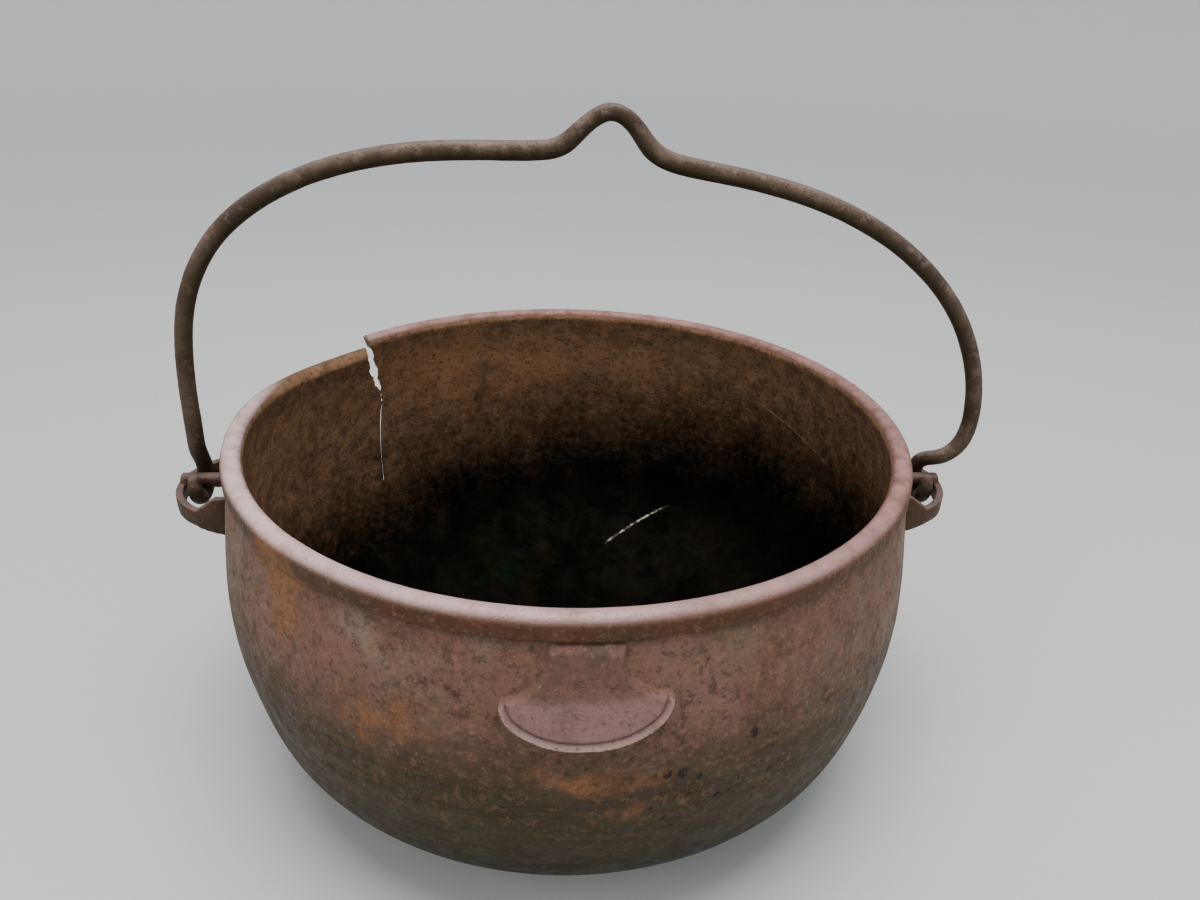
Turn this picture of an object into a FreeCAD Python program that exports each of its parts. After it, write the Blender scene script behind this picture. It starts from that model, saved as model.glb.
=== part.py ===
import FreeCAD, Part
import math
import os

# Bellied cast-iron cooking pot with a forged bail handle, in millimetres.
# +Z is up, the origin is the centre of the flat base, the ears lie on X and the tipping lug on -Y.

os.makedirs("parts", exist_ok=True)
doc = FreeCAD.newDocument("cauldron")
Vec = FreeCAD.Vector
UP = Vec(0, 0, 1)

DIMS = {
    "base_radius": 84.0,
    "belly_radius": 203.5,
    "belly_height": 126.0,
    "band_radius": 197.0,
    "band_bottom": 206.5,
    "lip_height": 219.0,
    "lip_half_width": 5.8,
    "wall": 6.0,
    "floor_top": 8.0,
    "turn": 360.0,
    "lug_stem_half": 16.5,
    "lug_tip_half": 37.3,
    "lug_bottom": 155.3,
    "lug_proud": 5.0,
    "bead_proud": 6.8,
    "lug_reach": 230.0,
    "crack_bearing": 138.0,
    "crack_mouth": 4.6,
    "crack_bottom": 172.0,
    "hinge_height": 174.0,
    "ear_centre": 195.0,
    "ear_bow": 40.0,
    "ear_strap": 4.5,
    "ear_top": 173.0,
    "ear_bottom": 162.5,
    "ear_root_top": 183.0,
    "ear_root_bottom": 160.0,
    "bar_radius": 4.5,
    "bar_start": 195.0,
    "bar_end": 233.0,
    "rod_radius": 5.0,
    "eye_clearance": 0.6,
    "eye_side": 222.0,
    "eye_sweep": 225.0,
}

dims = doc.addObject("Spreadsheet::Sheet", "dims")
for row, (word, size) in enumerate(DIMS.items(), start=1):
    dims.set(f"A{row}", word)
    dims.set(f"B{row}", str(size))
    dims.setAlias(f"B{row}", word)
doc.recompute()


def value(word):
    return float(getattr(dims, word))


# ---------------------------------------------------------------- helpers

def origin_plane(body, role):
    for feature in body.Origin.OriginFeatures:
        if feature.Role == role:
            return feature
    raise ValueError(role)


def new_body(name, label):
    body = doc.addObject("PartDesign::Body", name)
    body.Label = label
    return body


def sketch_on(body, name, role):
    sketch = body.newObject("Sketcher::SketchObject", name)
    sketch.AttachmentSupport = (origin_plane(body, role), [""])
    sketch.MapMode = "FlatFace"
    return sketch


def add_lines(sketch, points):
    for start, end in zip(points[:-1], points[1:]):
        sketch.addGeometry(Part.LineSegment(Vec(*start, 0), Vec(*end, 0)), False)


def add_spline(sketch, points):
    curve = Part.BSplineCurve()
    curve.interpolate([Vec(*p, 0) for p in points])
    sketch.addGeometry(curve, False)


def revolve(body, sketch, name):
    turned = body.newObject("PartDesign::Revolution", name)
    turned.Profile = sketch
    turned.ReferenceAxis = (sketch, ["V_Axis"])
    turned.setExpression("Angle", "dims.turn")
    return turned


def pad(body, sketch, name, alias, midplane):
    block = body.newObject("PartDesign::Pad", name)
    block.Profile = sketch
    block.setExpression("Length", alias)
    block.Midplane = midplane
    return block


def boolean(kind, name, base, tool):
    result = doc.addObject(kind, name)
    result.Base = base
    result.Tool = tool
    return result


# ---------------------------------------------------------------- pot profile (radius, height)

wall = value("wall")
lip_top = value("lip_height")
lip_half = value("lip_half_width")
band_r = value("band_radius")
band_z = value("band_bottom")
floor_z = value("floor_top")
shoulder_z = lip_top - lip_half

OUTSIDE = [
    (value("base_radius"), 0.0),
    (125.0, 10.0),
    (155.0, 26.0),
    (176.0, 40.0),
    (189.0, 56.0),
    (197.0, 80.0),
    (value("belly_radius"), value("belly_height")),
    (200.8, 167.0),
    (194.8, band_z),
]
INSIDE = [
    (band_r - 2.0 * lip_half, shoulder_z),
    (194.8 - wall, 203.0),
    (200.8 - wall, 167.0),
    (value("belly_radius") - wall, value("belly_height")),
    (197.0 - wall, 81.0),
    (184.0, 59.0),
    (172.0, 45.0),
    (152.0, 32.0),
    (122.0, 17.5),
    (80.0, floor_z),
]
LIP_PEAK = (band_r - lip_half, lip_top)


def lip_arc(start, end):
    return Part.Arc(Vec(*start, 0), Vec(*LIP_PEAK, 0), Vec(*end, 0))


# ---------------------------------------------------------------- pot shell

shell = new_body("PotShell", "pot shell")
shell_sketch = sketch_on(shell, "ShellProfile", "XZ_Plane")
add_lines(shell_sketch, [(0.0, floor_z), (0.0, 0.0), OUTSIDE[0]])
add_spline(shell_sketch, OUTSIDE)
add_lines(shell_sketch, [OUTSIDE[-1], (band_r, band_z), (band_r, shoulder_z)])
shell_sketch.addGeometry(lip_arc((band_r, shoulder_z), INSIDE[0]), False)
add_spline(shell_sketch, INSIDE)
add_lines(shell_sketch, [INSIDE[-1], (0.0, floor_z)])
revolve(shell, shell_sketch, "ShellTurn")

# The same outside, filled, trims the ear roots to the belly.
blank = new_body("PotBlank", "pot blank")
blank_sketch = sketch_on(blank, "BlankProfile", "XZ_Plane")
add_lines(blank_sketch, [(0.0, band_z), (0.0, 0.0), OUTSIDE[0]])
add_spline(blank_sketch, OUTSIDE)
add_lines(blank_sketch, [OUTSIDE[-1], (0.0, band_z)])
revolve(blank, blank_sketch, "BlankTurn")

# ---------------------------------------------------------------- tipping lug
# A half-moon foot on a short stem under the rim band, with a bead along its lower edge.

stem = value("lug_stem_half")
tip = value("lug_tip_half")
low = value("lug_bottom")
LUG_SIDE = [(stem, 195.0), (20.0, 188.5), (27.0, 183.0), (tip, 178.5)]
LUG_FOOT = [(tip, 174.5), (28.0, 162.5), (15.0, low + 1.6), (0.0, low)]
BEAD_TOP = [(tip, 178.0), (26.0, 166.5), (14.0, low + 5.8), (0.0, low + 4.0)]


def mirrored(points):
    return [(-x, z) for x, z in reversed(points)]


def skin(name, label, proud):
    """A band of the belly's surface, thickened outward by `proud`."""
    body = new_body(name, label)
    sketch = sketch_on(body, name + "Profile", "XZ_Plane")
    outer = [(202.0 + proud, 150.0), (200.8 + proud, 167.0), (197.6 + proud, 190.0), (194.9 + proud, 206.8)]
    add_lines(sketch, [(192.0, 206.8), (199.0, 150.0), outer[0]])
    add_spline(sketch, outer)
    add_lines(sketch, [outer[-1], (192.0, 206.8)])
    revolve(body, sketch, name + "Turn")
    return body


lug_plan = new_body("LugPlan", "lug plan")
lug_sketch = sketch_on(lug_plan, "LugOutline", "XZ_Plane")
add_lines(lug_sketch, [mirrored(LUG_SIDE)[-1], (-stem, 210.0), (stem, 210.0), LUG_SIDE[0]])
add_spline(lug_sketch, LUG_SIDE)
add_lines(lug_sketch, [LUG_SIDE[-1], LUG_FOOT[0]])
add_spline(lug_sketch, LUG_FOOT + mirrored(LUG_FOOT)[1:])
add_lines(lug_sketch, [mirrored(LUG_FOOT)[-1], mirrored(LUG_SIDE)[0]])
add_spline(lug_sketch, mirrored(LUG_SIDE))
pad(lug_plan, lug_sketch, "LugBlock", "dims.lug_reach", False)
lug = boolean("Part::Common", "LugPlate", skin("LugSkin", "lug skin", value("lug_proud")), lug_plan)

bead_plan = new_body("BeadPlan", "bead plan")
bead_sketch = sketch_on(bead_plan, "BeadOutline", "XZ_Plane")
add_spline(bead_sketch, LUG_FOOT + mirrored(LUG_FOOT)[1:])
add_lines(bead_sketch, [mirrored(LUG_FOOT)[-1], mirrored(BEAD_TOP)[-1]])
add_spline(bead_sketch, BEAD_TOP + mirrored(BEAD_TOP)[1:])
add_lines(bead_sketch, [BEAD_TOP[0], LUG_FOOT[0]])
pad(bead_plan, bead_sketch, "BeadBlock", "dims.lug_reach", False)
bead = boolean("Part::Common", "LugBead", skin("BeadSkin", "bead skin", value("bead_proud")), bead_plan)

# ---------------------------------------------------------------- crack through the rim
# A narrow wedge, widest at the lip.

crack = new_body("CrackWedge", "crack wedge")
crack_sketch = sketch_on(crack, "CrackOutline", "YZ_Plane")
half_mouth = value("crack_mouth") / 2.0
mouth_z = lip_top + 5.0
crack_z = value("crack_bottom")
add_lines(crack_sketch, [(-half_mouth, mouth_z), (0.0, crack_z), (half_mouth, mouth_z), (-half_mouth, mouth_z)])
pad(crack, crack_sketch, "CrackBlock", "dims.lug_reach", False)
crack.Placement = FreeCAD.Placement(Vec(0, 0, 0), FreeCAD.Rotation(UP, value("crack_bearing")))

casting = doc.addObject("Part::MultiFuse", "Casting")
casting.Shapes = [shell, lug, bead]
casting.Refine = True
pot_body = boolean("Part::Cut", "PotBody", casting, crack)

# ---------------------------------------------------------------- ears
# A bowed strap, deeper at its roots, with a round bar across the middle for the handle's eye.

ear_x = value("ear_centre")
SIDE_VIEW = [
    (188.0, value("ear_root_bottom") - 2.0),
    (202.0, value("ear_root_bottom")),
    (217.0, value("ear_bottom")),
    (240.0, value("ear_bottom")),
    (240.0, value("ear_top")),
    (214.0, value("ear_top")),
    (202.0, value("ear_root_top")),
    (188.0, value("ear_root_top") + 2.0),
    (188.0, value("ear_root_bottom") - 2.0),
]


def ear(name, label, bearing):
    solids = {}
    for part, radius in (("Outer", "dims.ear_bow"), ("Inner", "dims.ear_bow - dims.ear_strap")):
        disc = doc.addObject("Part::Cylinder", name + part)
        disc.setExpression("Radius", radius)
        disc.Height = 60.0
        disc.Placement.Base = Vec(ear_x, 0, 140.0)
        solids[part] = disc
    ring = boolean("Part::Cut", name + "Ring", solids["Outer"], solids["Inner"])

    side = new_body(name + "Side", label + " side view")
    side_sketch = sketch_on(side, name + "SideOutline", "XZ_Plane")
    add_lines(side_sketch, SIDE_VIEW)
    pad(side, side_sketch, name + "SideBlock", "dims.ear_bow * 2.5", True)
    strap = boolean("Part::Common", name + "Strap", ring, side)

    bar = doc.addObject("Part::Cylinder", name + "Bar")
    bar.setExpression("Radius", "dims.bar_radius")
    bar.setExpression("Height", "dims.bar_end - dims.bar_start")
    bar_base = Vec(value("bar_start"), 0, value("hinge_height"))
    bar.Placement = FreeCAD.Placement(bar_base, FreeCAD.Rotation(Vec(0, 1, 0), 90))

    forging = doc.addObject("Part::MultiFuse", name + "Forging")
    forging.Shapes = [strap, bar]
    forging.Refine = True
    trimmed = boolean("Part::Cut", name, forging, blank)
    trimmed.Label = label
    trimmed.Placement = FreeCAD.Placement(Vec(0, 0, 0), FreeCAD.Rotation(UP, bearing))
    return trimmed


ear_right = ear("EarRight", "ear_right", 0.0)
ear_left = ear("EarLeft", "ear_left", 180.0)

# ---------------------------------------------------------------- bail handle
# One round rod: an eye round each ear bar, slightly uneven legs and a hump at the top for a hook.

rod_r = value("rod_radius")
hinge_z = value("hinge_height")
eye_x = value("eye_side")
eye_r = value("bar_radius") + value("eye_clearance") + rod_r
ROD_SECTIONS = 96
EYE_STEP = 15


LEFT_LEG = [Vec(-eye_x, eye_r, 178.5), Vec(-221.8, 7.0, 186), Vec(-221.2, 1.0, 194), Vec(-220.3, 0, 206)]
RIGHT_LEG = [Vec(246, 0, 208), Vec(242.5, 0, 198), Vec(236.5, 0, 192), Vec(229.5, 0.5, 189), Vec(223, 6.5, 186)]
RIGHT_LEG.append(Vec(eye_x, eye_r, 179))
ARCH = [
    (-220, 242),
    (-215, 284),
    (-196, 320),
    (-166, 344),
    (-131, 359),
    (-95, 367),
    (-58, 369.5),
    (-21, 369),
    (-7, 371.5),
    (1, 380.5),
    (16, 393),
    (30, 384.5),
    (37, 372),
    (49, 364.5),
    (72, 361),
    (111, 354),
    (151, 341),
    (190, 319),
    (224, 286),
    (241, 250),
    (246, 225),
]

FORWARD = Vec(0, 1, 0)
shank = [Vec(side * eye_x, eye_r, hinge_z) for side in (-1, 1)]
rod_line = [shank[0]] + LEFT_LEG
rod_line += [Vec(x, 0, z) for x, z in ARCH]
rod_line += RIGHT_LEG + [shank[1]]
curve = Part.BSplineCurve()
curve.buildFromPoles(rod_line)

sections = []


def add_section(point, along, across):
    """A disc of the rod, square to its line, with its first axis kept across the handle's plane."""
    ring = doc.addObject("Part::Circle", f"RodSection{len(sections)}")
    ring.setExpression("Radius", "dims.rod_radius")
    facing = FreeCAD.Rotation(across, along.cross(across), along, "ZXY")
    ring.Placement = FreeCAD.Placement(point, facing)
    sections.append(ring)


def add_eye(side, turns):
    """Sections round one eye; turns counts degrees from the shank, down round the bar, to the open tip."""
    for degrees in turns:
        a = math.radians(degrees)
        point = Vec(side * eye_x, eye_r * math.cos(a), hinge_z - eye_r * math.sin(a))
        along = Vec(0, -side * math.sin(a), -side * math.cos(a))
        add_section(point, along, Vec(-side, 0, 0))


turns = [EYE_STEP * n for n in range(1, int(value("eye_sweep") / EYE_STEP) + 1)]
first = curve.FirstParameter
span = curve.LastParameter - first
add_eye(-1, reversed(turns))
for index in range(ROD_SECTIONS + 1):
    at = first + span * index / ROD_SECTIONS
    along = curve.tangent(at)[0]
    add_section(curve.value(at), along, FORWARD.cross(along))
add_eye(1, turns)

bail = doc.addObject("Part::Loft", "BailHandle")
bail.Sections = sections
bail.Solid = True
bail.Ruled = True

# ---------------------------------------------------------------- checks and export

doc.recompute()
pot_body.Label = "pot_body"
bail.Label = "bail_handle"
for item in doc.Objects:
    if "Invalid" in item.State or "Error" in item.State:
        raise RuntimeError(f"{item.Name} did not build")
for node in (pot_body, ear_left, ear_right, bail):
    if node.Shape.isNull() or not node.Shape.isValid():
        raise RuntimeError(f"{node.Label} has no valid shape")
    node.Shape.exportStep(f"parts/{node.Label}.step")
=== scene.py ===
import math

import bmesh
import bpy
import numpy as np
from mathutils import Matrix, Vector, noise


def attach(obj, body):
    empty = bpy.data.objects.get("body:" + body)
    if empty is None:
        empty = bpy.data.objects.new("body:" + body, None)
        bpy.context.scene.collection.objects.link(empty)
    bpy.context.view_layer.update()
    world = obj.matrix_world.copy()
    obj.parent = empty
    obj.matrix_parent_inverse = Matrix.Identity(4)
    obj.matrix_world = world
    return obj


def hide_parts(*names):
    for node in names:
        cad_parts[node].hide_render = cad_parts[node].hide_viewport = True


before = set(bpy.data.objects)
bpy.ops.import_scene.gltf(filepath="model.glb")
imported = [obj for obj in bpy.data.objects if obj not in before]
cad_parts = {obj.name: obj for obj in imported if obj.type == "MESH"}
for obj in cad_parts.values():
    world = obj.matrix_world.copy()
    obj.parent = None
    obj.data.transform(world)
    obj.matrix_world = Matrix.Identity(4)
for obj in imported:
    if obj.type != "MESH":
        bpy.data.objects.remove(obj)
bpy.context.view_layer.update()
MM = 0.001


# ------------------------------------------------------------------ curves

def cubic_through(points, count):
    """A natural cubic through the points, sampled evenly by chord length."""
    p = np.array(points, float)
    t = np.r_[0, np.cumsum(np.linalg.norm(np.diff(p, axis=0), axis=1))]
    n = len(t)
    h = np.diff(t)
    system = np.eye(n)
    right = np.zeros((n, p.shape[1]))
    for i in range(1, n - 1):
        system[i, i - 1:i + 2] = h[i - 1], 2 * (h[i - 1] + h[i]), h[i]
        right[i] = 6 * ((p[i + 1] - p[i]) / h[i] - (p[i] - p[i - 1]) / h[i - 1])
    m = np.linalg.solve(system, right)
    s = np.linspace(0, t[-1], count)
    k = np.clip(np.searchsorted(t, s, side="right") - 1, 0, n - 2)
    d, e, w = (s - t[k])[:, None], (t[k + 1] - s)[:, None], h[k][:, None]
    bend = (m[k] * e**3 + m[k + 1] * d**3) / (6 * w)
    return bend + (p[k] / w - m[k] * w / 6) * e + (p[k + 1] / w - m[k + 1] * w / 6) * d


def clamped_spline(poles, count):
    """A cubic B-spline on these control points, touching the first and last."""
    p = np.array(poles, float)
    n = len(p)
    knots = np.r_[[0] * 3, np.arange(n - 2), [n - 3] * 3].astype(float)
    out = []
    for u in np.linspace(0, n - 3, count):
        k = min(int(u), n - 4) + 3
        d = [p[j + k - 3].copy() for j in range(4)]
        for r in range(1, 4):
            for j in range(3, r - 1, -1):
                a = (u - knots[j + k - 3]) / (knots[j + 1 + k - r] - knots[j + k - 3])
                d[j] = (1 - a) * d[j - 1] + a * d[j]
        out.append(d[3])
    return np.array(out)


def respace(points, step_at):
    """Points along a line, about step_at(point) apart."""
    gaps = np.linalg.norm(np.diff(points, axis=0), axis=1)
    middles = 0.5 * (points[1:] + points[:-1])
    pace = np.r_[0, np.cumsum(gaps / np.array([step_at(q) for q in middles]))]
    marks = np.linspace(0, pace[-1], max(2, int(round(pace[-1])) + 1))
    return np.stack([np.interp(marks, pace, points[:, a]) for a in range(points.shape[1])], axis=1)


def smooth(low, high, x):
    t = np.clip((np.asarray(x, float) - low) / (high - low), 0, 1)
    return t * t * (3 - 2 * t)


def new_object(name, verts, faces, smooth_angle=38):
    mesh = bpy.data.meshes.new(name)
    mesh.from_pydata([tuple(v) for v in verts], [], faces)
    bm = bmesh.new()
    bm.from_mesh(mesh)
    bmesh.ops.recalc_face_normals(bm, faces=bm.faces)
    bm.to_mesh(mesh)
    bm.free()
    mesh.shade_smooth()
    mesh.set_sharp_from_angle(angle=math.radians(smooth_angle))
    obj = bpy.data.objects.new(name, mesh)
    bpy.context.scene.collection.objects.link(obj)
    return obj


def paint(obj, name, values):
    """Stores one colour per vertex, for the material's zones."""
    layer = obj.data.color_attributes.new(name, "FLOAT_COLOR", "POINT")
    rgba = np.ones((len(obj.data.vertices), 4), np.float32)
    rgba[:, :values.shape[1]] = values
    layer.data.foreach_set("color", rgba.ravel())


# ------------------------------------------------------------------ pot: profile and grid (mm)

OUTSIDE = [
    (84, 0), (125, 10), (155, 26), (176, 40), (189, 56), (197, 80), (203.5, 126), (200.8, 167),
    (194.8, 206.5),
]
INSIDE = [
    (185.4, 213.2), (188.8, 203), (194.8, 167), (197.5, 126), (191, 81), (184, 59), (172, 45), (152, 32),
    (122, 17.5), (80, 8),
]
STEP = [(195.0, 206.2), (195.7, 206.5), (196.5, 206.7), (196.9, 207.2), (197.0, 208.2), (197.0, 210.5)]
LIP_CENTRE = (191.2, 213.2)
LIP_RADIUS = 5.8
LUG_ZONE = (149.0, 207.0)

CRACK_BEARING = 139.1
CRACK_END = 168.0
HAIRLINE_END = 90.0
HAIRLINE_GAP = 0.9
CRACK_GAP = 5.8
CRACK_SKEW = -1.35
CRACK_SLOPE = 3.0
LIP_TOP = 219.0
RIM_SHIFT = 2.0
RIM_DROP = 8.0
RIM_SHIFT_SPAN = 42.0

outer = respace(cubic_through(OUTSIDE, 1500), lambda q: 0.65 if q[1] > LUG_ZONE[0] else 2.8)
lip_angles = np.radians(np.linspace(0, 180, 15))
lip = np.stack([LIP_CENTRE[0] + LIP_RADIUS * np.cos(lip_angles),
                LIP_CENTRE[1] + LIP_RADIUS * np.sin(lip_angles)], axis=1)
inner = respace(cubic_through(INSIDE, 1500), lambda q: 1.8 if q[1] > CRACK_END - 4 else 3.0)
under = [(r, 0.0) for r in (14, 30, 46, 60, 72, 80)]
floor_in = [(r, 8.0) for r in (70, 56, 42, 28, 14)]
profile = np.array(under + outer.tolist() + STEP + lip.tolist() + inner.tolist()[1:] + floor_in, float)
side = np.array([0.0] * (len(under) + len(outer) + len(STEP)) + np.linspace(0, 1, len(lip)).tolist()
                + [1.0] * (len(inner) - 1 + len(floor_in)))
lip_top_row = len(under) + len(outer) + len(STEP) + len(lip) // 2


def column_step(u):
    """Degrees between columns: fine across the lug and beside the crack."""
    bearing = (CRACK_BEARING + u) % 360
    if abs(bearing - 270) < 13.5:
        return 0.2
    if min(u, 360 - u) < 5:
        return 0.4
    return 1.2


marks = [0.0]
while marks[-1] < 360:
    marks.append(marks[-1] + column_step(marks[-1] + 0.1))
columns = np.array(marks) * 360 / marks[-1]


def crack_path(z):
    """Bearing offset of the crack, leaning and uneven, in degrees."""
    lean = -4.8 * np.clip((LIP_TOP - z) / 50, 0, 1) + 1.6 * np.clip((166 - z) / 80, 0, 1)
    jag = 0.22 * np.sin(z * 0.42) + 0.12 * np.sin(z * 1.1 + 1.0)
    return lean + jag * smooth(150, 175, z)


def crack_gap(z):
    opening = smooth(CRACK_END - 4, CRACK_END + 26, z) * (1 - 0.35 * smooth(LIP_TOP - 14, LIP_TOP, z))
    hairline = HAIRLINE_GAP * smooth(HAIRLINE_END, HAIRLINE_END + 12, z)
    return np.maximum(CRACK_GAP * opening, hairline) * (z > HAIRLINE_END)


Z = np.repeat(profile[:, 1:2], len(columns), axis=1)
R = np.repeat(profile[:, 0:1], len(columns), axis=1)
U = np.repeat(columns[None, :], len(profile), axis=0)
fade = np.exp(-(np.minimum(U, 360 - U) / 5.0) ** 2)
half_gap = np.degrees(crack_gap(Z) / 2 / np.maximum(R, 40)) * np.where(U < 180, 1, -1)
skew = CRACK_SKEW * (1 - side[:, None])
wander = smooth(60, 100, Z) * (crack_path(Z + CRACK_SLOPE * (1 - side[:, None])) + skew)
THETA = np.radians(CRACK_BEARING + U + fade * (wander + half_gap))


# ------------------------------------------------------------------ tipping lug as relief on the wall

STEM = 16.5
TIP = 37.3
LOW = 155.3
SIDE_LINE = [(STEM, 196), (18.6, 189.5), (24.2, 183.3), (31, 179.6), (36.4, 178.2)]
FOOT_LINE = [(TIP + 0.6, 175.6), (36, 170.0), (28, 162.3), (15, LOW + 1.6), (0, LOW)]


def mirrored(points):
    return [(-x, z) for x, z in reversed(points)]


foot = cubic_through(FOOT_LINE + mirrored(FOOT_LINE)[1:], 60)
flare = cubic_through(SIDE_LINE, 16)
outline = np.vstack([[(STEM, 210)], flare, foot, np.array(mirrored(flare.tolist())), [(-STEM, 210)]])
LUG_TURN = math.radians(2.0)
LUG_PIVOT = np.array([0.0, 190.0])


def distance_to(line, points):
    best = np.full(len(points), 1e9)
    for a, b in zip(line[:-1], line[1:]):
        ab = b - a
        t = np.clip(((points - a) @ ab) / max(ab @ ab, 1e-9), 0, 1)
        best = np.minimum(best, np.linalg.norm(points - (a + t[:, None] * ab), axis=1))
    return best


def is_inside(line, points):
    inside = np.zeros(len(points), bool)
    x, z = points[:, 0], points[:, 1]
    closed = np.vstack([line, line[:1]])
    for (x0, z0), (x1, z1) in zip(closed[:-1], closed[1:]):
        crosses = (z0 > z) != (z1 > z)
        with np.errstate(divide="ignore", invalid="ignore"):
            at = x0 + (z - z0) * (x1 - x0) / (z1 - z0)
        inside ^= crosses & (x < at)
    return inside


X = R * np.cos(THETA)
Y = R * np.sin(THETA)
front = (side[:, None] == 0) & (Y < -150) & (np.abs(X) < 46) & (Z > LUG_ZONE[0]) & (Z < 206.3)
flat = np.stack([X[front], Z[front]], axis=1) - LUG_PIVOT
blend = smooth(200, 180, Z[front])
turn_by = LUG_TURN * blend
flat = np.stack([flat[:, 0] * np.cos(turn_by) + flat[:, 1] * np.sin(turn_by),
                 -flat[:, 0] * np.sin(turn_by) + flat[:, 1] * np.cos(turn_by)], axis=1) + LUG_PIVOT
edge = distance_to(outline, flat) * np.where(is_inside(outline, flat), 1, -1)
low_edge = distance_to(foot, flat)
inside_lug = smooth(-0.9, 1.5, edge)
bead = 1.5 * np.exp(-((low_edge - 1.5) / 1.2) ** 2) - 0.9 * np.exp(-((low_edge - 3.9) / 0.7) ** 2)
stem_line = -0.35 * np.exp(-((flat[:, 1] - 203.6) / 0.9) ** 2)
dish = -0.8 * np.exp(-((flat[:, 1] - 190) / 9) ** 2) + 0.5 * smooth(TIP, 10, np.abs(flat[:, 0]))
relief = inside_lug * smooth(206.3, 203.0, Z[front]) * (4.0 + bead * (edge > -0.5) + stem_line + dish)
lug_mask = np.zeros_like(R)
lug_mask[front] = inside_lug
lug_foot = np.zeros_like(R)
lug_foot[front] = inside_lug * smooth(184, 176, flat[:, 1])
# Masks for the painted highlight on the bead's crest and the painted shade in the groove above it.
lug_bead = np.zeros_like(R)
lug_bead[front] = inside_lug * np.exp(-((low_edge - 1.2) / 1.2) ** 2)
lug_line = np.zeros_like(R)
lug_line[front] = inside_lug * np.exp(-((low_edge - 3.9) / 0.8) ** 2)
R[front] += relief

# The rim left of the crack sits lower and a little inward.
sunk = (1 - smooth(0, RIM_SHIFT_SPAN, U)) * smooth(CRACK_END - 30, LIP_TOP, Z) * (U < 180)
R = R - RIM_SHIFT * sunk
Z = Z - RIM_DROP * sunk

# Uneven casting: gentle swells and small knocks, always inward so the pot keeps its size.
for i in range(R.shape[0]):
    for j in range(R.shape[1]):
        p = Vector((R[i, j] * math.cos(THETA[i, j]), R[i, j] * math.sin(THETA[i, j]), Z[i, j]))
        swell = noise.noise(p * 0.018) + 0.5 * noise.noise(p * 0.06)
        knock = noise.noise(p * 0.22)
        R[i, j] -= 0.25 * (1 + swell) * min(1.0, R[i, j] / 60) + 0.10 * max(0.0, knock)

X = R * np.cos(THETA)
Y = R * np.sin(THETA)

# ------------------------------------------------------------------ pot: mesh

rows, cols = R.shape
open_row = crack_gap(profile[:, 1]) > 0.05
index = np.zeros((rows, cols), int)
verts = []
owner = []
for i in range(rows):
    for j in range(cols):
        if j == cols - 1 and not open_row[i]:
            index[i, j] = index[i, 0]
            continue
        index[i, j] = len(verts)
        verts.append((X[i, j] * MM, Y[i, j] * MM, Z[i, j] * MM))
        owner.append((i, j))
faces = []
for i in range(rows - 1):
    for j in range(cols - 1):
        faces.append((index[i, j], index[i, j + 1], index[i + 1, j + 1], index[i + 1, j]))
for row, height in ((0, 0.0), (rows - 1, 8.0)):
    middle = len(verts)
    verts.append((0, 0, height * MM))
    owner.append((row, 0))
    for j in range(cols - 1):
        faces.append((index[row, j], index[row, j + 1], middle))

# Broken faces on both sides of the crack, zipped between the outer and inner edges.
open_rows = [i for i in range(rows) if open_row[i]]
down_out = [i for i in open_rows if i <= lip_top_row][::-1] + [open_rows[0] - 1]
down_in = [i for i in open_rows if i >= lip_top_row] + [open_rows[-1] + 1]
for j in (0, cols - 1):
    a, b = 0, 0
    while a < len(down_out) - 1 or b < len(down_in) - 1:
        za = profile[down_out[a + 1], 1] if a < len(down_out) - 1 else -1e9
        zb = profile[down_in[b + 1], 1] if b < len(down_in) - 1 else -1e9
        here = (index[down_out[a], j], index[down_in[b], j])
        if za >= zb:
            a += 1
            face = (*here, index[down_out[a], j])
        else:
            b += 1
            face = (*here, index[down_in[b], j])
        if len(set(face)) == 3:
            faces.append(face)
pot = new_object("pot_casting", verts, faces)

owner = np.array(owner)
oi, oj = owner[:, 0], owner[:, 1]
height = Z[oi, oj]
bearing = (np.degrees(THETA[oi, oj]) + 180) % 360 - 180
shell_side = side[oi]


def spot(at, z, wide, tall):
    """Soft blob on the wall at a bearing and height, sized in mm."""
    arc = ((bearing - at + 180) % 360 - 180) * math.pi / 180 * 200
    return np.exp(-(arc / wide) ** 2 - ((height - z) / tall) ** 2)


def spots(rows):
    return sum(strength * spot(at, z, wide, tall) for strength, at, z, wide, tall in rows)


# Each spot: strength, bearing in degrees, height, half width, half height.
RUST_OUTSIDE = [
    (0.95, -136, 206, 16, 12), (0.6, -134, 183, 14, 16), (0.5, -50, 205, 8, 7), (0.52, -88, 133, 34, 9),
    (0.30, -84, 112, 26, 8), (0.35, -118, 150, 40, 18), (0.4, 60, 150, 50, 25), (0.4, 150, 120, 50, 25),
    (0.35, 10, 100, 40, 20),
]
RUST_INSIDE = [(0.95, 118, 176, 60, 30), (0.6, 84, 172, 60, 26), (0.35, 172, 170, 60, 30)]
WORN_OUTSIDE = [
    (0.9, -120, 191, 22, 13), (0.55, -106, 197, 18, 10), (0.45, -60, 190, 40, 30), (0.3, -40, 150, 30, 40),
    (0.4, 80, 190, 60, 20),
]
# Painted highlight: a glint along the lip top, brightest on the left.
LIP_GLINT_SPOTS = [(1.2, -165, 216, 150, 40), (0.5, -100, 216, 120, 40)]
PITTED = [(0.9, -74, 118, 40, 26), (0.7, -66, 158, 14, 14), (0.4, -57, 148, 20, 16)]

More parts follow.
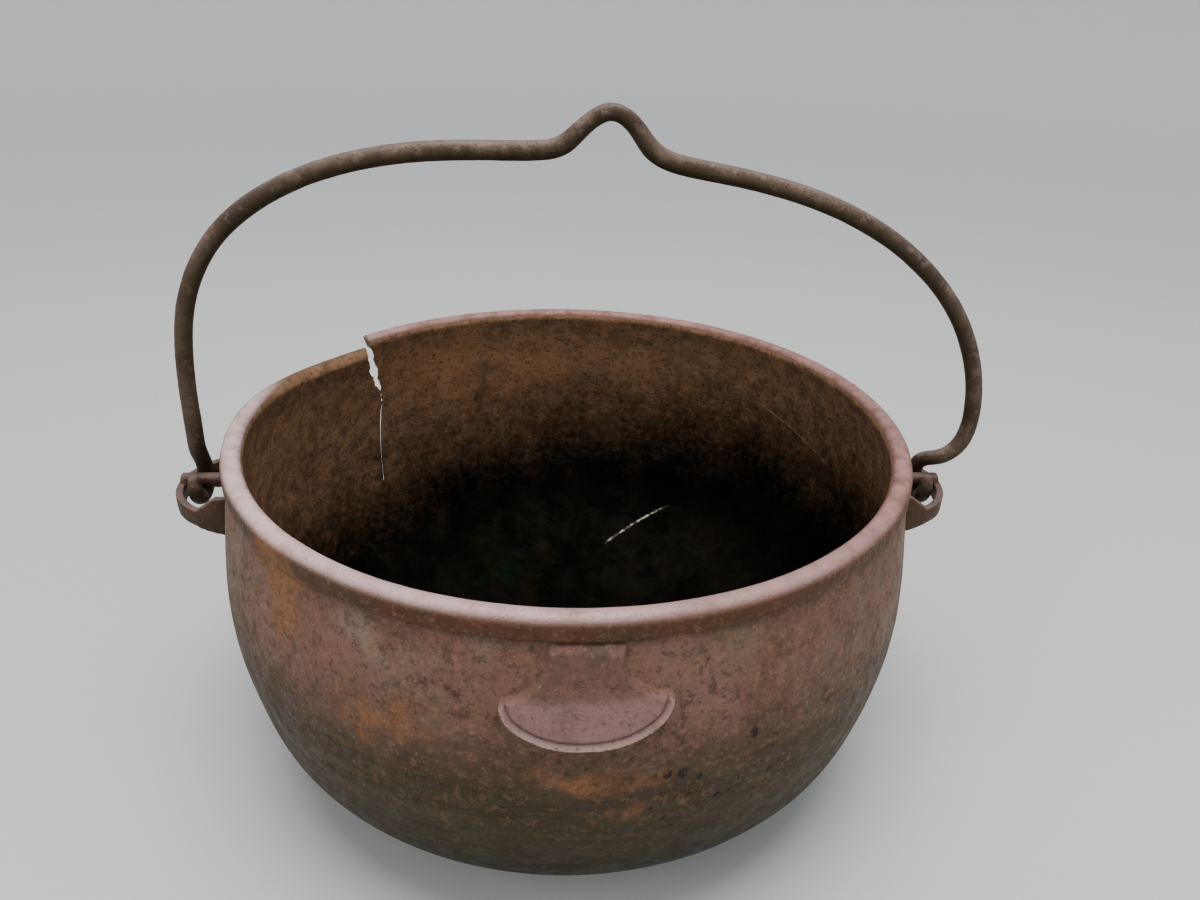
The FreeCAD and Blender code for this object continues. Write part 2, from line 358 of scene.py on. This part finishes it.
outside = 1 - shell_side
rust = outside * spots(RUST_OUTSIDE) + shell_side * spots(RUST_INSIDE)
# Real wear outside, plus the lip's painted glint in the same channel.
wear_and_lip_glint = outside * spots(WORN_OUTSIDE) + smooth(212, 217, height) * spots(LIP_GLINT_SPOTS)
pits = outside * spots(PITTED)
paint(pot, "zones", np.stack([shell_side, np.clip(rust, 0, 1), np.clip(wear_and_lip_glint, 0, 1)], axis=1))
lip_top = smooth(214.5, 218.6, height)
paint(pot, "marks", np.stack([lip_top, lug_mask[oi, oj], np.clip(pits, 0, 1)], axis=1))
paint(pot, "lug", np.stack([lug_foot[oi, oj], lug_bead[oi, oj], lug_line[oi, oj]], axis=1))
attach(pot, "pot")
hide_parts("pot_body")


# ------------------------------------------------------------------ bail handle

EYE_X = 222.0
EYE_R = 10.1
HINGE_Z = 174.0
LEFT_LEG = [(-EYE_X, EYE_R, 178.5), (-221.8, 7, 186), (-221.2, 1, 194), (-220.3, 0, 206)]
ARCH = [
    (-220, 242), (-215, 284), (-196, 320), (-166, 344), (-131, 359), (-95, 367), (-58, 369.5), (-21, 369),
    (-7, 371.5), (1, 380.5), (16, 393), (30, 384.5), (37, 372), (49, 364.5), (72, 361), (111, 354),
    (151, 341), (190, 319), (224, 286), (241, 250), (246, 225),
]
RIGHT_LEG = [(246, 0, 208), (242.5, 0, 198), (236.5, 0, 192), (229.5, 0.5, 189), (223, 6.5, 186),
             (EYE_X, EYE_R, 179)]
poles = [(-EYE_X, EYE_R, HINGE_Z)] + LEFT_LEG + [(x, 0, z) for x, z in ARCH]
poles += RIGHT_LEG + [(EYE_X, EYE_R, HINGE_Z)]


def eye_line(sign, degrees):
    a = np.radians(degrees)
    return np.stack([np.full(len(a), sign * EYE_X), EYE_R * np.cos(a), HINGE_Z - EYE_R * np.sin(a)], axis=1)


eye_degrees = np.linspace(0, 224, 28)
rod_line = np.vstack([
    eye_line(-1, eye_degrees[::-1])[:-1], clamped_spline(poles, 1800), eye_line(1, eye_degrees)[1:],
])
rod_line = respace(rod_line, lambda q: 1.5)
RING = 24


def rod_radius(point, from_end):
    """Forged rod: a touch thicker along the top, slimmer over the hump and at the curled tips."""
    x, _, z = point
    radius = 4.85 + 0.35 * smooth(300, 345, z) - 0.62 * smooth(368, 386, z)
    if z < 190:
        radius -= 0.1
    return float(radius) * (0.80 + 0.20 * float(smooth(1, 15, from_end)))


rod_verts, rod_faces = [], []
count = len(rod_line)
steps = np.r_[0, np.cumsum(np.linalg.norm(np.diff(rod_line, axis=0), axis=1))]
tangents = np.gradient(rod_line, axis=0)
across = Vector((1, 0, 0))
for i, point in enumerate(rod_line):
    along = Vector(tangents[i]).normalized()
    across = (across - along * across.dot(along)).normalized()
    other = along.cross(across)
    end = min(steps[i], steps[-1] - steps[i])
    base_radius = rod_radius(point, end)
    if end < 3.0:
        base_radius *= math.sqrt(max(0.12, 1 - ((3.0 - end) / 3.0) ** 2))
    for k in range(RING):
        a = 2 * math.pi * k / RING
        out = across * math.cos(a) + other * math.sin(a)
        p = Vector(point) + out * base_radius
        swell = 0.13 * noise.noise(p * 0.055) + 0.10 * noise.noise(p * 0.17)
        dent = 0.10 * max(0.0, noise.noise(p * 0.45 + Vector((9, 3, 1))) - 0.1)
        q = Vector(point) + out * min(5.2, base_radius + swell - dent)
        rod_verts.append(tuple(q * MM))
for i in range(count - 1):
    for k in range(RING):
        m = (k + 1) % RING
        rod_faces.append((i * RING + k, i * RING + m, (i + 1) * RING + m, (i + 1) * RING + k))
for i in (0, count - 1):
    middle = len(rod_verts)
    rod_verts.append(tuple(Vector(rod_line[i]) * MM))
    for k in range(RING):
        rod_faces.append((i * RING + k, i * RING + (k + 1) % RING, middle))
bail = new_object("bail_rod", rod_verts, rod_faces)
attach(bail, "bail")
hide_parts("bail_handle")


# ------------------------------------------------------------------ ears: the CAD shape, hammered and rounded

def forged_copy(node, name):
    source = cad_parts[node]
    work = bpy.data.objects.new(name + "_work", source.data.copy())
    bpy.context.scene.collection.objects.link(work)
    remesh = work.modifiers.new("remesh", "REMESH")
    remesh.mode = "VOXEL"
    remesh.voxel_size = 0.75 * MM
    soften = work.modifiers.new("soften", "SMOOTH")
    soften.factor = 0.5
    soften.iterations = 5
    graph = bpy.context.evaluated_depsgraph_get()
    mesh = bpy.data.meshes.new_from_object(work.evaluated_get(graph))
    mesh.name = name
    bpy.data.objects.remove(work)
    obj = bpy.data.objects.new(name, mesh)
    bpy.context.scene.collection.objects.link(obj)
    normals = [v.normal.copy() for v in mesh.vertices]
    for v, n in zip(mesh.vertices, normals):
        p = v.co / MM
        push = 0.22 * noise.noise(p * 0.12) - 0.16 * max(0.0, noise.noise(p * 0.5)) - 0.05
        v.co += n * push * MM
    mesh.shade_smooth()
    mesh.materials.clear()
    return obj


ears = []
for node, name in (("ear_left", "ear_strap_left"), ("ear_right", "ear_strap_right")):
    ear = forged_copy(node, name)
    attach(ear, "pot")
    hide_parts(node)
    ears.append(ear)


# ------------------------------------------------------------------ materials

class Nodes:
    """Short calls for building a material's node tree."""

    def __init__(self, name):
        self.material = bpy.data.materials.new(name)
        self.material.use_nodes = True
        self.tree = self.material.node_tree
        self.tree.nodes.clear()
        self.place = self.tree.nodes.new("ShaderNodeTexCoord").outputs["Object"]

    def link(self, value, socket):
        if isinstance(value, bpy.types.NodeSocket):
            self.tree.links.new(value, socket)
        else:
            socket.default_value = value

    def stretched(self, scale):
        node = self.tree.nodes.new("ShaderNodeMapping")
        self.link(self.place, node.inputs["Vector"])
        node.inputs["Scale"].default_value = scale
        return node.outputs["Vector"]

    def noise(self, scale, detail=4.0, rough=0.55, vector=None, distortion=0.0):
        node = self.tree.nodes.new("ShaderNodeTexNoise")
        self.link(vector or self.place, node.inputs["Vector"])
        node.inputs["Scale"].default_value = scale
        node.inputs["Detail"].default_value = detail
        node.inputs["Roughness"].default_value = rough
        node.inputs["Distortion"].default_value = distortion
        return node.outputs["Fac"]

    def cells(self, scale, vector=None, randomness=1.0):
        node = self.tree.nodes.new("ShaderNodeTexVoronoi")
        self.link(vector or self.place, node.inputs["Vector"])
        node.inputs["Scale"].default_value = scale
        node.inputs["Randomness"].default_value = randomness
        return node.outputs["Distance"]

    def ramp(self, value, low, high, a=0.0, b=1.0):
        node = self.tree.nodes.new("ShaderNodeMapRange")
        node.interpolation_type = "SMOOTHSTEP"
        self.link(value, node.inputs["Value"])
        for key, number in (("From Min", low), ("From Max", high), ("To Min", a), ("To Max", b)):
            node.inputs[key].default_value = number
        return node.outputs["Result"]

    def math(self, kind, a, b=0.5):
        node = self.tree.nodes.new("ShaderNodeMath")
        node.operation = kind
        self.link(a, node.inputs[0])
        self.link(b, node.inputs[1])
        return node.outputs[0]

    def mix(self, factor, a, b):
        node = self.tree.nodes.new("ShaderNodeMix")
        node.data_type = "RGBA"
        self.link(factor, node.inputs["Factor"])
        self.link(a, node.inputs[6])
        self.link(b, node.inputs[7])
        return node.outputs[2]

    def coat(self, under, where, amount, colour):
        """The under colour, with this colour over it where the mask says."""
        return self.mix(self.math("MULTIPLY", where, amount), under, colour)

    def zones(self, name):
        node = self.tree.nodes.new("ShaderNodeAttribute")
        node.attribute_name = name
        split = self.tree.nodes.new("ShaderNodeSeparateColor")
        self.link(node.outputs["Color"], split.inputs[0])
        return split.outputs[0], split.outputs[1], split.outputs[2]

    def distance(self):
        """Distance from the middle of the object, in metres."""
        node = self.tree.nodes.new("ShaderNodeVectorMath")
        node.operation = "LENGTH"
        self.link(self.place, node.inputs[0])
        return node.outputs["Value"]

    def facing_up(self):
        """Height of the surface normal: 1 on top, -1 underneath."""
        node = self.tree.nodes.new("ShaderNodeSeparateXYZ")
        self.link(self.tree.nodes.new("ShaderNodeNewGeometry").outputs["Normal"], node.inputs[0])
        return node.outputs[2]

    def axis(self, which):
        node = self.tree.nodes.new("ShaderNodeSeparateXYZ")
        self.link(self.place, node.inputs[0])
        return node.outputs[which]

    def bump(self, height, strength, distance, normal=None):
        node = self.tree.nodes.new("ShaderNodeBump")
        self.link(height, node.inputs["Height"])
        node.inputs["Strength"].default_value = strength
        node.inputs["Distance"].default_value = distance
        if normal:
            self.link(normal, node.inputs["Normal"])
        return node.outputs["Normal"]

    def along(self, direction, origin):
        node = self.tree.nodes.new("ShaderNodeVectorMath")
        node.operation = "DOT_PRODUCT"
        self.link(self.place, node.inputs[0])
        node.inputs[1].default_value = direction
        return self.math("SUBTRACT", node.outputs["Value"], float(direction.dot(origin)))

    def scratch(self, start, end, width):
        """One along a thin line on the inner wall, from start to end, fading at its ends."""
        a, b = wall_point(*start), wall_point(*end)
        length = (b - a).length
        radial = (a + b) / 2
        radial.z = 0
        off = self.math("ABSOLUTE", self.along((b - a).cross(radial).normalized(), a))
        line = self.ramp(off, width * MM, width * 0.4 * MM)
        t = self.along((b - a).normalized(), a)
        ends = self.math("MULTIPLY", self.ramp(t, 0.0, length * 0.15), self.ramp(t, length, length * 0.85))
        return self.math("MULTIPLY", line, ends)

    def finish(self, colour, roughness, normal, metallic, specular=0.4):
        shader = self.tree.nodes.new("ShaderNodeBsdfPrincipled")
        out = self.tree.nodes.new("ShaderNodeOutputMaterial")
        self.link(colour, shader.inputs["Base Color"])
        self.link(roughness, shader.inputs["Roughness"])
        self.link(normal, shader.inputs["Normal"])
        self.link(metallic, shader.inputs["Metallic"])
        shader.inputs["Specular IOR Level"].default_value = specular
        self.tree.links.new(shader.outputs[0], out.inputs[0])
        return self.material


def wall_point(bearing_degrees, z):
    """A point on the pot's inner wall, in metres."""
    r = float(np.interp(z, [q[1] for q in INSIDE[::-1]], [q[0] for q in INSIDE[::-1]]))
    a = math.radians(bearing_degrees)
    return Vector((r * math.cos(a), r * math.sin(a), z)) * MM


# Old scratches inside: start and end as (bearing, height), half width in mm, strength.
SCRATCHES = [
    ((76.3, 31), (60.4, 60), 0.9, 0.95),
    ((42.0, 170), (18.4, 147), 0.7, 0.35),
]


def rgb(r, g, b):
    return (r, g, b, 1.0)


# Iron, rust and soot colours of the pot.
BROWN_DEEP = rgb(0.125, 0.064, 0.040)
BROWN_WARM = rgb(0.180, 0.095, 0.068)
OLIVE = rgb(0.100, 0.080, 0.044)
RED_BROWN = rgb(0.215, 0.098, 0.070)
STAIN = rgb(0.070, 0.044, 0.027)
LOW_SHADE_BLACK = rgb(0.018, 0.018, 0.006)
LOW_SHADE_BROWN = rgb(0.040, 0.030, 0.010)
BASE_SHADE_BLACK = rgb(0.0060, 0.0105, 0.0040)
WORN_TAN = rgb(0.27, 0.19, 0.145)
LUG_RED = rgb(0.150, 0.072, 0.056)
LUG_BROWN = rgb(0.112, 0.066, 0.048)
LUG_PINK = rgb(0.295, 0.168, 0.165)
BEAD_HIGHLIGHT = rgb(0.42, 0.29, 0.25)
GROOVE_SHADE = rgb(0.05, 0.028, 0.02)
BAND_SHADE_RED = rgb(0.072, 0.027, 0.009)
BAND_SHADE_OLIVE = rgb(0.046, 0.026, 0.009)
STEP_DARK = rgb(0.05, 0.03, 0.02)
FLAKE_LIGHT = rgb(0.29, 0.125, 0.052)
FLAKE_DARK = rgb(0.21, 0.092, 0.043)
PIT_SHADE = rgb(0.008, 0.007, 0.006)
CHIP_PALE = rgb(0.42, 0.34, 0.27)
FINE_DARK = rgb(0.050, 0.030, 0.019)
FINE_TAN = rgb(0.30, 0.19, 0.125)
SCAB_DARK = rgb(0.045, 0.032, 0.016)
CRUST_TAN = rgb(0.26, 0.125, 0.078)
LIP_HIGHLIGHT = rgb(0.38, 0.200, 0.182)
LIP_HIGHLIGHT_DIM = rgb(0.230, 0.115, 0.097)
LIP_GLINT = rgb(0.66, 0.475, 0.455)
SOOT_SHADE_GREEN = rgb(0.0014, 0.0022, 0.0009)
SOOT_SHADE_BROWN = rgb(0.0075, 0.0062, 0.0034)
WALL_DARK = rgb(0.160, 0.089, 0.047)
WALL_LIGHT = rgb(0.285, 0.156, 0.081)
WALL_RUST = rgb(0.360, 0.175, 0.078)
CRUMB_TAN = rgb(0.33, 0.17, 0.085)
MOSS = rgb(0.005, 0.018, 0.005)
ASH_DARK = rgb(0.020, 0.011, 0.006)
SCRATCH_PALE = rgb(0.50, 0.45, 0.38)


def pot_material():
    n = Nodes("pot_old_cast_iron")
    inside, rust_zone, wear_and_glint_zone = n.zones("zones")
    lip, lug, pit_zone = n.zones("marks")
    foot_zone, bead_zone, line_zone = n.zones("lug")
    z = n.axis(2)

    broad = n.noise(9, 5, 0.6)
    cloud = n.noise(28, 6, 0.62, distortion=0.4)
    mottle = n.noise(95, 6, 0.65)
    grain = n.noise(620, 3, 0.6)
    # Brown skin, mottled.
    skin = n.mix(n.ramp(broad, 0.40, 0.62), BROWN_DEEP, BROWN_WARM)
    skin = n.coat(skin, n.ramp(cloud, 0.50, 0.66), 0.55, OLIVE)
    skin = n.coat(skin, n.ramp(cloud, 0.47, 0.34), 0.5, RED_BROWN)
    skin = n.coat(skin, n.ramp(mottle, 0.52, 0.68), 0.60, STAIN)

    # Darker towards the base: painted shade, near black at the very bottom with a painted green reflection.
    streaks = n.noise(30, 5, 0.6, n.stretched((0.5, 0.5, 9.0)))
    low = n.ramp(n.math("ADD", z, n.math("MULTIPLY", cloud, 0.05)), 0.200, 0.138)
    low_shade = n.mix(n.ramp(streaks, 0.4, 0.65), LOW_SHADE_BLACK, LOW_SHADE_BROWN)
    skin = n.coat(skin, low, 0.88, low_shade)
    base = n.ramp(n.math("ADD", z, n.math("MULTIPLY", mottle, 0.03)), 0.118, 0.058)
    skin = n.coat(skin, base, 0.85, BASE_SHADE_BLACK)

    # Worn spots, whose mask also carries the lip's painted glint, and the lug.
    wear_and_lip_glint = n.math("MULTIPLY", wear_and_glint_zone, n.ramp(cloud, 0.40, 0.62))
    skin = n.coat(skin, wear_and_lip_glint, 0.8, WORN_TAN)
    lug_skin = n.mix(n.ramp(mottle, 0.42, 0.62), LUG_RED, LUG_BROWN)
    lug_skin = n.mix(n.math("MULTIPLY", foot_zone, n.ramp(cloud, 0.3, 0.6, 0.4, 0.9)), lug_skin, LUG_PINK)
    skin = n.coat(skin, lug, 0.9, lug_skin)
    # Painted highlight on the bead's crest, painted shade in the groove line above it.
    skin = n.coat(skin, bead_zone, 0.55, BEAD_HIGHLIGHT)
    skin = n.coat(skin, line_zone, 0.45, GROOVE_SHADE)

    # Rim band in painted shade, and a painted shadow along the step under it.
    band = n.ramp(z, 0.2055, 0.2065)
    band_shade = n.mix(n.ramp(cloud, 0.42, 0.62), BAND_SHADE_RED, BAND_SHADE_OLIVE)
    skin = n.coat(skin, band, 0.8, band_shade)
    step_shadow = n.math("MULTIPLY", n.ramp(z, 0.2015, 0.2055), n.ramp(z, 0.2072, 0.2060))
    skin = n.coat(skin, step_shadow, 0.35, STEP_DARK)

    # Rust flakes and specks.
    flakes = n.math("MULTIPLY", n.ramp(n.math("ADD", rust_zone, n.math("MULTIPLY", mottle, 1.3)), 0.80, 1.12),
                    n.ramp(cloud, 0.30, 0.56, 0.25, 1.0))
    rusty = n.mix(n.ramp(grain, 0.35, 0.65), FLAKE_LIGHT, FLAKE_DARK)
    specks = n.ramp(n.noise(230, 3, 0.6), 0.66, 0.74)
    specks = n.math("MULTIPLY", specks, n.ramp(broad, 0.45, 0.60))
    skin = n.coat(skin, flakes, 0.72, rusty)
    skin = n.coat(skin, specks, 0.45, rusty)

    # Pits, their black painted shade in the hollows, and pale chips.
    hole_field = n.cells(125, n.stretched((1.0, 1.0, 0.7)))
    holes = n.math("MULTIPLY", n.ramp(hole_field, 0.33, 0.22), n.ramp(pit_zone, 0.25, 0.60))
    holes = n.math("MULTIPLY", holes, n.ramp(n.noise(60, 2, 0.5), 0.46, 0.52))
    skin = n.mix(holes, skin, PIT_SHADE)
    pale = n.math("MULTIPLY", n.ramp(n.cells(120), 0.10, 0.05), n.ramp(n.noise(40, 2, 0.5), 0.55, 0.62))
    skin = n.coat(skin, pale, 0.35, CHIP_PALE)

    # Fine speckle and crust.
    fine = n.noise(380, 4, 0.7)
    skin = n.coat(skin, n.ramp(fine, 0.54, 0.68), 0.50, FINE_DARK)
    dust = n.ramp(z, 0.06, 0.17, 0.06, 0.34)
    skin = n.coat(skin, n.ramp(fine, 0.45, 0.32), dust, FINE_TAN)
    crust = n.noise(165, 6, 0.78)
    scabs = n.math("MULTIPLY", n.ramp(crust, 0.53, 0.61), n.ramp(broad, 0.35, 0.60, 0.25, 0.70))
    scabs = n.math("MULTIPLY", scabs, n.ramp(lug, 0.0, 1.0, 1.0, 0.35))
    skin = n.mix(scabs, skin, SCAB_DARK)
    above = n.math("MULTIPLY", n.ramp(z, 0.05, 0.16, 0.10, 0.42), n.ramp(z, 0.2065, 0.2055, 0.35, 1.0))
    above = n.math("MULTIPLY", above, n.ramp(lug, 0.0, 1.0, 1.0, 0.45))
    skin = n.mix(n.math("MULTIPLY", n.ramp(crust, 0.46, 0.38), above), skin, CRUST_TAN)
    # Lip top: a painted highlight, with a brighter painted glint on the left.
    lit = n.mix(n.ramp(mottle, 0.35, 0.65), LIP_HIGHLIGHT, LIP_HIGHLIGHT_DIM)
    lip_glint = n.math("MULTIPLY", wear_and_glint_zone, n.ramp(mottle, 0.30, 0.55, 0.35, 0.95))
    lit = n.mix(lip_glint, lit, LIP_GLINT)
    skin = n.mix(n.math("MULTIPLY", lip, n.ramp(cloud, 0.25, 0.5, 0.55, 0.95)), skin, lit)

    # Inside: near black below, partly a dark sooty deposit and partly painted shade of the deep interior;
    # rusty wall above.
    soot_and_shade = n.mix(n.ramp(cloud, 0.40, 0.62), SOOT_SHADE_GREEN, SOOT_SHADE_BROWN)
    upper = n.mix(n.ramp(mottle, 0.38, 0.64), WALL_DARK, WALL_LIGHT)
    tilt = n.math("MULTIPLY", n.axis(0), -0.16)
    ragged = n.math("ADD", n.math("MULTIPLY", cloud, 0.05), n.math("MULTIPLY", n.noise(200, 5, 0.75), 0.09))
    climb = n.ramp(n.math("ADD", n.math("ADD", z, tilt), ragged), 0.138, 0.262)
    inner_skin = n.mix(climb, soot_and_shade, upper)
    inner_rust = n.math("MULTIPLY", rust_zone, n.ramp(cloud, 0.34, 0.60))
    inner_skin = n.coat(inner_skin, inner_rust, 0.75, WALL_RUST)
    crumbs = n.math("MULTIPLY", n.ramp(n.noise(330, 4, 0.75), 0.54, 0.64), climb)
    inner_skin = n.coat(inner_skin, crumbs, 0.5, CRUMB_TAN)
    green = n.math("MULTIPLY", n.ramp(n.noise(22, 4, 0.6), 0.60, 0.70), n.ramp(z, 0.11, 0.03))
    inner_skin = n.coat(inner_skin, green, 0.3, MOSS)
    ash = n.ramp(n.noise(300, 5, 0.8), 0.53, 0.62)
    inner_skin = n.coat(inner_skin, ash, n.ramp(z, 0.06, 0.16, 0.10, 0.62), ASH_DARK)
    for start, end, width, strength in SCRATCHES:
        broken = n.ramp(n.noise(260, 2, 0.5), 0.42, 0.56, 0.15, 1.0)
        mark = n.math("MULTIPLY", n.scratch(start, end, width), broken)
        inner_skin = n.coat(inner_skin, mark, strength, SCRATCH_PALE)
    below_lip = n.math("MULTIPLY", inside, n.ramp(lip, 0.5, 0.0))
    colour = n.mix(below_lip, skin, inner_skin)

    # Roughness and relief.
    rough = n.ramp(mottle, 0.3, 0.7, 0.50, 0.72)
    rough = n.math("ADD", rough, n.math("MULTIPLY", flakes, 0.18))
    rough = n.math("SUBTRACT", rough, n.math("MULTIPLY", lip, 0.16))
    rough = n.math("ADD", rough, n.math("MULTIPLY", below_lip, 0.14))

    cast = n.math("ADD", n.math("MULTIPLY", n.noise(180, 6, 0.68), 1.0), n.math("MULTIPLY", grain, 0.35))
    normal = n.bump(cast, 0.55, 0.0011)
    normal = n.bump(flakes, 0.45, 0.0007, normal)
    pinholes = n.ramp(n.cells(420), 0.32, 0.10)
    normal = n.bump(n.math("MULTIPLY", pinholes, -1.0), 0.5, 0.0006, normal)
    normal = n.bump(n.math("MULTIPLY", holes, -1.0), 0.9, 0.0016, normal)
    rings = n.noise(42, 2, 0.5, n.stretched((0.15, 0.15, 5.0)))
    normal = n.bump(n.math("MULTIPLY", rings, low), 0.35, 0.0009, normal)
    # Metallic raised where the inside is soot and painted shade, and where the base is painted shade.
    soot_and_shade_metal = n.math("MULTIPLY", below_lip, n.math("SUBTRACT", 1.0, climb))
    soot_and_shade_metal = n.math("MAXIMUM", n.math("MULTIPLY", soot_and_shade_metal, 0.85), n.math("MULTIPLY", base, 0.45))
    return n.finish(colour, rough, normal, n.math("MAXIMUM", soot_and_shade_metal, 0.12), 0.16)


def forged_material(name, dark, mid, light, orange):
    n = Nodes(name)
    cloud = n.noise(38, 6, 0.62)
    mottle = n.noise(150, 6, 0.66)
    grain = n.noise(900, 3, 0.6)
    colour = n.mix(n.ramp(cloud, 0.38, 0.62), dark, mid)
    colour = n.mix(n.math("MULTIPLY", n.ramp(mottle, 0.50, 0.66), 0.7), colour, light)
    speck = n.math("MULTIPLY", n.ramp(n.noise(260, 4, 0.65), 0.58, 0.70), n.ramp(cloud, 0.35, 0.60, 0.3, 1.0))
    colour = n.mix(n.math("MULTIPLY", speck, 0.6), colour, orange)
    pin = n.ramp(n.cells(520), 0.30, 0.08)
    colour = n.mix(n.math("MULTIPLY", pin, 0.55), colour, rgb(0.022, 0.016, 0.012))
    # Painted light: undersides painted darker and olive as shade with a green cast, tops painted lighter as a
    # highlight.
    facing_for_painted_light = n.facing_up()
    colour = n.mix(n.ramp(facing_for_painted_light, 0.70, -0.60, 0.0, 0.85), colour, rgb(0.034, 0.025, 0.009))
    colour = n.mix(n.ramp(facing_for_painted_light, 0.45, 0.95, 0.0, 0.30), colour, rgb(0.30, 0.23, 0.20))
    rough = n.ramp(mottle, 0.3, 0.7, 0.46, 0.70)
    normal = n.bump(n.math("ADD", mottle, n.math("MULTIPLY", grain, 0.3)), 0.5, 0.0007)
    normal = n.bump(n.math("MULTIPLY", pin, -1.0), 0.7, 0.0006, normal)
    normal = n.bump(n.noise(60, 3, 0.5), 0.25, 0.0012, normal)
    return n.finish(colour, rough, normal, 0.2, 0.15)


pot.data.materials.append(pot_material())
bail.data.materials.append(forged_material(
    "bail_forged_iron", rgb(0.060, 0.039, 0.026), rgb(0.118, 0.077, 0.056), rgb(0.205, 0.145, 0.115),
    rgb(0.190, 0.085, 0.038)))
ear_finish = forged_material(
    "ear_forged_iron", rgb(0.048, 0.023, 0.016), rgb(0.092, 0.042, 0.028), rgb(0.165, 0.090, 0.066),
    rgb(0.220, 0.085, 0.036))
for ear in ears:
    ear.data.materials.append(ear_finish)


# ------------------------------------------------------------------ floor, light and camera

FLOOR_RADIUS = 3.6
COVE = 2.2
BOWL_TOP = 2.4
SPOKES = 72
bowl = [(r, 0.0) for r in (0.25, 0.5, 0.8, 1.2, 1.8, 2.6, FLOOR_RADIUS)]
for step in range(1, 13):
    turn = math.pi / 2 * step / 12
    bowl.append((FLOOR_RADIUS + COVE * math.sin(turn), COVE * (1 - math.cos(turn))))
bowl.append((FLOOR_RADIUS + COVE, BOWL_TOP))
floor_verts = [(0.0, 0.0, 0.0)]
floor_faces = []
for ring, (r, z) in enumerate(bowl):
    for k in range(SPOKES):
        a = 2 * math.pi * k / SPOKES
        floor_verts.append((r * math.cos(a), r * math.sin(a), z))
        here = 1 + ring * SPOKES + k
        after = 1 + ring * SPOKES + (k + 1) % SPOKES
        if ring == 0:
            floor_faces.append((0, here, after))
        else:
            floor_faces.append((here - SPOKES, here, after, after - SPOKES))
floor = new_object("floor", floor_verts, floor_faces)
pale = Nodes("floor_pale")
tone = pale.mix(pale.ramp(pale.distance(), 0.8, 4.2), rgb(0.56, 0.56, 0.54), rgb(0.90, 0.90, 0.87))
floor.data.materials.append(pale.finish(tone, 0.9, pale.bump(pale.noise(40), 0.02, 0.001), 0.0, 0.2))

world = bpy.data.worlds.new("soft_sky")
bpy.context.scene.world = world
world.use_nodes = True
world.node_tree.nodes["Background"].inputs["Color"].default_value = (0.86, 0.91, 1.0, 1.0)
world.node_tree.nodes["Background"].inputs["Strength"].default_value = 0.62


def area_light(name, place, aim, size, power, colour=(1, 1, 1)):
    data = bpy.data.lights.new(name, "AREA")
    data.shape = "DISK"
    data.size = size
    data.energy = power
    data.color = colour
    obj = bpy.data.objects.new(name, data)
    obj.location = place
    obj.rotation_euler = (Vector(aim) - Vector(place)).to_track_quat("-Z", "Y").to_euler()
    bpy.context.scene.collection.objects.link(obj)


area_light("overhead", (0.0, -0.25, 2.3), (0, 0.05, 0.15), 1.5, 58)
area_light("key_left", (-1.5, -1.2, 1.5), (0, 0, 0.15), 1.1, 12, (1.0, 0.97, 0.93))
area_light("fill_right", (1.7, -0.9, 1.0), (0, 0, 0.15), 1.2, 8)

CAMERA_PLACE = (-0.02168, -0.49639, 0.45216)
RIGHT = (0.99751, -0.06198, 0.03373)
UPWARD = (-0.00140, 0.46068, 0.88756)
FORWARD = (0.07055, 0.88540, -0.45945)
camera_data = bpy.data.cameras.new("camera")
camera_data.sensor_width = 36.0
camera_data.lens = 27.6
camera_data.clip_start = 0.01
camera_data.clip_end = 100.0
camera = bpy.data.objects.new("camera", camera_data)
pose = Matrix((RIGHT, UPWARD, tuple(-c for c in FORWARD))).transposed().to_4x4()
pose.translation = Vector(CAMERA_PLACE)
camera.matrix_world = pose
bpy.context.scene.collection.objects.link(camera)
bpy.context.scene.camera = camera
